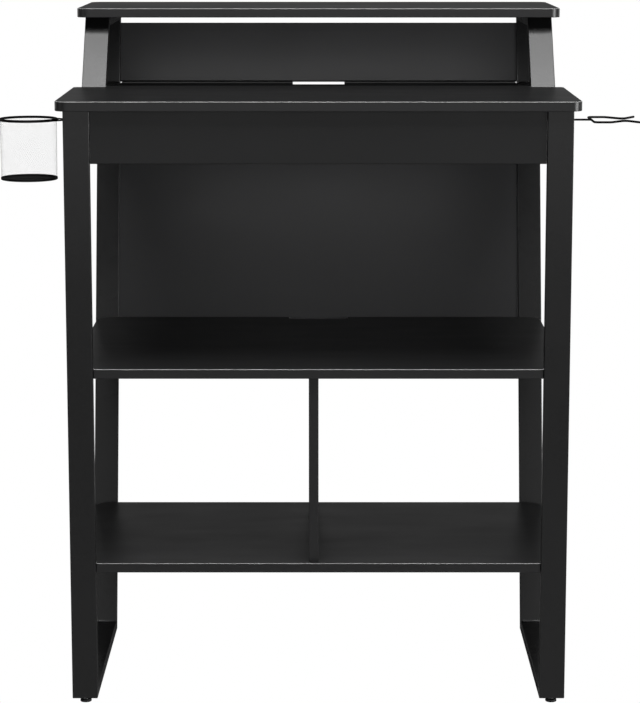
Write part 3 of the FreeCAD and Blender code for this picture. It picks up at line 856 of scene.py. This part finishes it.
def add_cup_wall(settings, material):
    centre, top_radius, foot_radius, top, foot = cup_measures()
    half_width = settings.strand_width / 2
    half_depth = settings.strand_width * 0.4
    skin = Skin()
    for way in (-1, 1):
        for strand in range(settings.strands):
            start = 2 * math.pi * strand / settings.strands
            rings = []
            for step in range(settings.steps + 1):
                part = step / settings.steps
                angle = start + way * settings.turn * part
                radius = foot_radius + (top_radius - foot_radius) * part
                spoke = Vector((math.cos(angle), math.sin(angle), 0.0))
                round_cup = Vector((-math.sin(angle), math.cos(angle), 0.0)) * way
                climb = (UP * (top - foot) + round_cup * radius * settings.turn).normalized()
                across = climb.cross(spoke)
                middle = centre + spoke * (radius + way * half_depth * 0.6)
                middle.z = foot + (top - foot) * part
                rings.append([
                    middle + across * half_width, middle + spoke * half_depth,
                    middle - across * half_width, middle - spoke * half_depth,
                ])
            skin.loft(rings)
    thick = 0.00035
    for radius, low, high in ((top_radius, top - settings.hem, top),
                              (foot_radius, foot, foot + settings.hem)):
        closed_turning(skin, ((radius - thick, low), (radius + thick, low),
                              (radius + thick, high), (radius - thick, high)), centre)
    skin.piece("cup_wall_mesh", material, CUP_BODY, ("cup_wall",))


def add_cup_base(material):
    """Pressed disc with a raised ring, and a rolled bead round its edge."""
    low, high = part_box("cup_base")
    centre = Vector(((low.x + high.x) / 2, (low.y + high.y) / 2, low.z))
    radius = (high.x - low.x) / 2
    height = high.z - low.z
    bead = 0.0011
    profile = [(0.004, 0.0009), (0.52 * radius, 0.0009), (0.55 * radius, 0.0003),
               (0.80 * radius, 0.0003), (0.83 * radius, 0.0), (radius - 0.0012, 0.0),
               (radius - 0.0004, 0.0004), (radius - 0.0001, 0.0012)]
    for i in range(9):
        angle = math.radians(-60 + 30 * i)
        profile.append((radius - bead + bead * math.cos(angle),
                        height - bead + bead * math.sin(angle)))
    inner = radius - 2 * bead
    profile += [(inner + 0.0007, 0.0016), (inner, 0.0010), (0.83 * radius, 0.0008),
                (0.80 * radius, 0.0011), (0.55 * radius, 0.0011), (0.52 * radius, 0.0017),
                (0.004, 0.0017)]
    skin = Skin()
    skin.loft(turned(profile, centre))
    skin.piece("cup_base_pressed", material, CUP_BODY, ("cup_base",), 50)


MIDDLE = (0.0, 0.0, 0.85)           # point on the desk that the large lights face
# Name, setting that holds its radiance, place, point that it faces, width and height
LIGHTS = (
    ("front_low", "front_low", (0.0, -6.0, 0.9), MIDDLE, (7.0, 1.4)),
    ("front_high", "front_high", (0.0, -6.0, 2.6), MIDDLE, (7.0, 1.6)),
    ("overhead", "overhead", (0.0, -1.0, 3.0), MIDDLE, (2.4, 1.1)),
    ("back_low", "back_low", (0.0, 6.0, 1.7), MIDDLE, (7.0, 1.4)),
    ("side_left", "side_fill", (-4.0, -2.0, 1.5), MIDDLE, (2.0, 2.5)),
    ("rear_left", "rear_fill", (-4.0, 3.0, 1.5), MIDDLE, (2.0, 2.5)),
    ("side_right", "side_fill", (4.0, -2.0, 1.5), MIDDLE, (2.0, 2.5)),
    ("rear_right", "rear_fill", (4.0, 3.0, 1.5), MIDDLE, (2.0, 2.5)),
    ("edge_strip", "edge_strip", (3.3, -1.4, 0.92), MIDDLE, (1.0, 0.4)),
    ("shelf_kicker", "shelf_kicker", (0.0, 0.085, 1.038), (0.0, 0.29, 1.0), (0.68, 0.02)),
    ("panel_kicker", "panel_kicker", (0.0, -0.10, 0.885), (0.0, 0.12, 0.62), (0.50, 0.04)),
)
FLOOR_HALF = 12.0                   # half the side of the square floor


class DESK_OT_studio(bpy.types.Operator):
    """Set up the floor, the lights, the surroundings and the camera"""
    bl_idname = "desk.studio"
    bl_label = "Studio"

    def execute(self, context):
        settings = context.scene.desk_studio
        scene = context.scene
        scene.view_settings.view_transform = "Standard"
        set_surroundings(scene, settings)
        add_floor(settings)
        for name, radiance, place, aim, size in LIGHTS:
            add_light(name, place, Vector(aim), size, getattr(settings, radiance))
        add_camera(scene, settings)
        return {"FINISHED"}


def set_surroundings(scene, settings):
    """White behind the desk for the camera, and a dim grey room for light and reflections."""
    world = bpy.data.worlds.new("studio_room")
    scene.world = world
    shader = Shader(world)
    seen = shader.add("ShaderNodeLightPath", output="Is Camera Ray")
    room = shader.add("ShaderNodeBackground", sockets={
        "Color": (1.0, 1.0, 1.0, 1.0), "Strength": settings.surroundings})
    white = shader.add("ShaderNodeBackground", sockets={
        "Color": (1.0, 1.0, 1.0, 1.0), "Strength": 1.0})
    shader.finish(shader.add("ShaderNodeMixShader", sockets={0: seen, 1: room, 2: white}),
                  "ShaderNodeOutputWorld")


def add_floor(settings):
    corners = [(x * FLOOR_HALF, y * FLOOR_HALF, 0.0)
               for x, y in ((-1, -1), (1, -1), (1, 1), (-1, 1))]
    mesh = bpy.data.meshes.new("floor")
    mesh.from_pydata(corners, [], [(0, 1, 2, 3)])
    material = bpy.data.materials.new("pale_floor")
    shader = Shader(material)
    seen = shader.add("ShaderNodeLightPath", output="Is Camera Ray")
    cloud = shader.noise(shader.place(), 0.6, 2.0)
    matt = shader.add("ShaderNodeBsdfPrincipled", sockets={
        "Base Color": shader.mix(cloud, rgba(settings.floor, 0.97), rgba(settings.floor, 1.03)),
        "Roughness": 0.7})
    glow = shader.add("ShaderNodeEmission", sockets={"Strength": 1.0})
    shader.finish(shader.add("ShaderNodeMixShader", sockets={0: seen, 1: matt, 2: glow}))
    mesh.materials.append(material)
    floor = bpy.data.objects.new("floor", mesh)
    bpy.context.scene.collection.objects.link(floor)


def add_light(name, place, aim, size, radiance):
    """Rectangular panel that faces aim. Its power follows from its radiance and its size."""
    lamp = bpy.data.lights.new(name, "AREA")
    lamp.shape = "RECTANGLE"
    lamp.size, lamp.size_y = size
    lamp.energy = radiance * math.pi * size[0] * size[1]
    light = bpy.data.objects.new(name, lamp)
    light.location = place
    light.rotation_euler = (aim - Vector(place)).to_track_quat("-Z", "Y").to_euler()
    light.visible_camera = False
    bpy.context.scene.collection.objects.link(light)


def add_camera(scene, settings):
    lens = bpy.data.cameras.new("camera")
    lens.sensor_fit = "AUTO"
    lens.sensor_width = 36.0
    lens.lens = settings.camera_lens
    lens.clip_end = 60.0
    camera = bpy.data.objects.new("camera", lens)
    camera.location = (settings.camera_side, -settings.camera_distance, settings.camera_height)
    camera.rotation_euler = (math.pi / 2 - settings.camera_pitch, 0.0, 0.0)
    scene.collection.objects.link(camera)
    scene.camera = camera


OPERATORS = (DESK_OT_boards, DESK_OT_side_frames, DESK_OT_welds, DESK_OT_screws, DESK_OT_glides,
             DESK_OT_dowels, DESK_OT_ring_and_hook, DESK_OT_mesh_cup, DESK_OT_studio)


class DESK_PT_looks(bpy.types.Panel):
    """Desk settings and the steps that build its looks"""
    bl_idname = "DESK_PT_looks"
    bl_label = "Two-tier desk"
    bl_space_type = "VIEW_3D"
    bl_region_type = "UI"
    bl_category = "Desk"

    def draw(self, context):
        for name, group in SETTINGS.items():
            column = self.layout.column(align=True)
            for setting in group.__annotations__:
                column.prop(getattr(context.scene, name), setting)
        for operator in OPERATORS:
            self.layout.operator(operator.bl_idname)


CLASSES = tuple(SETTINGS.values()) + OPERATORS + (DESK_PT_looks,)


def register():
    for cls in CLASSES:
        bpy.utils.register_class(cls)
    for name, group in SETTINGS.items():
        setattr(bpy.types.Scene, name, PointerProperty(type=group))


def unregister():
    for name in SETTINGS:
        delattr(bpy.types.Scene, name)
    for cls in reversed(CLASSES):
        bpy.utils.unregister_class(cls)


def main():
    register()
    for operator in OPERATORS:
        group, name = operator.bl_idname.split(".")
        getattr(getattr(bpy.ops, group), name)()


if __name__ == "__main__":
    main()
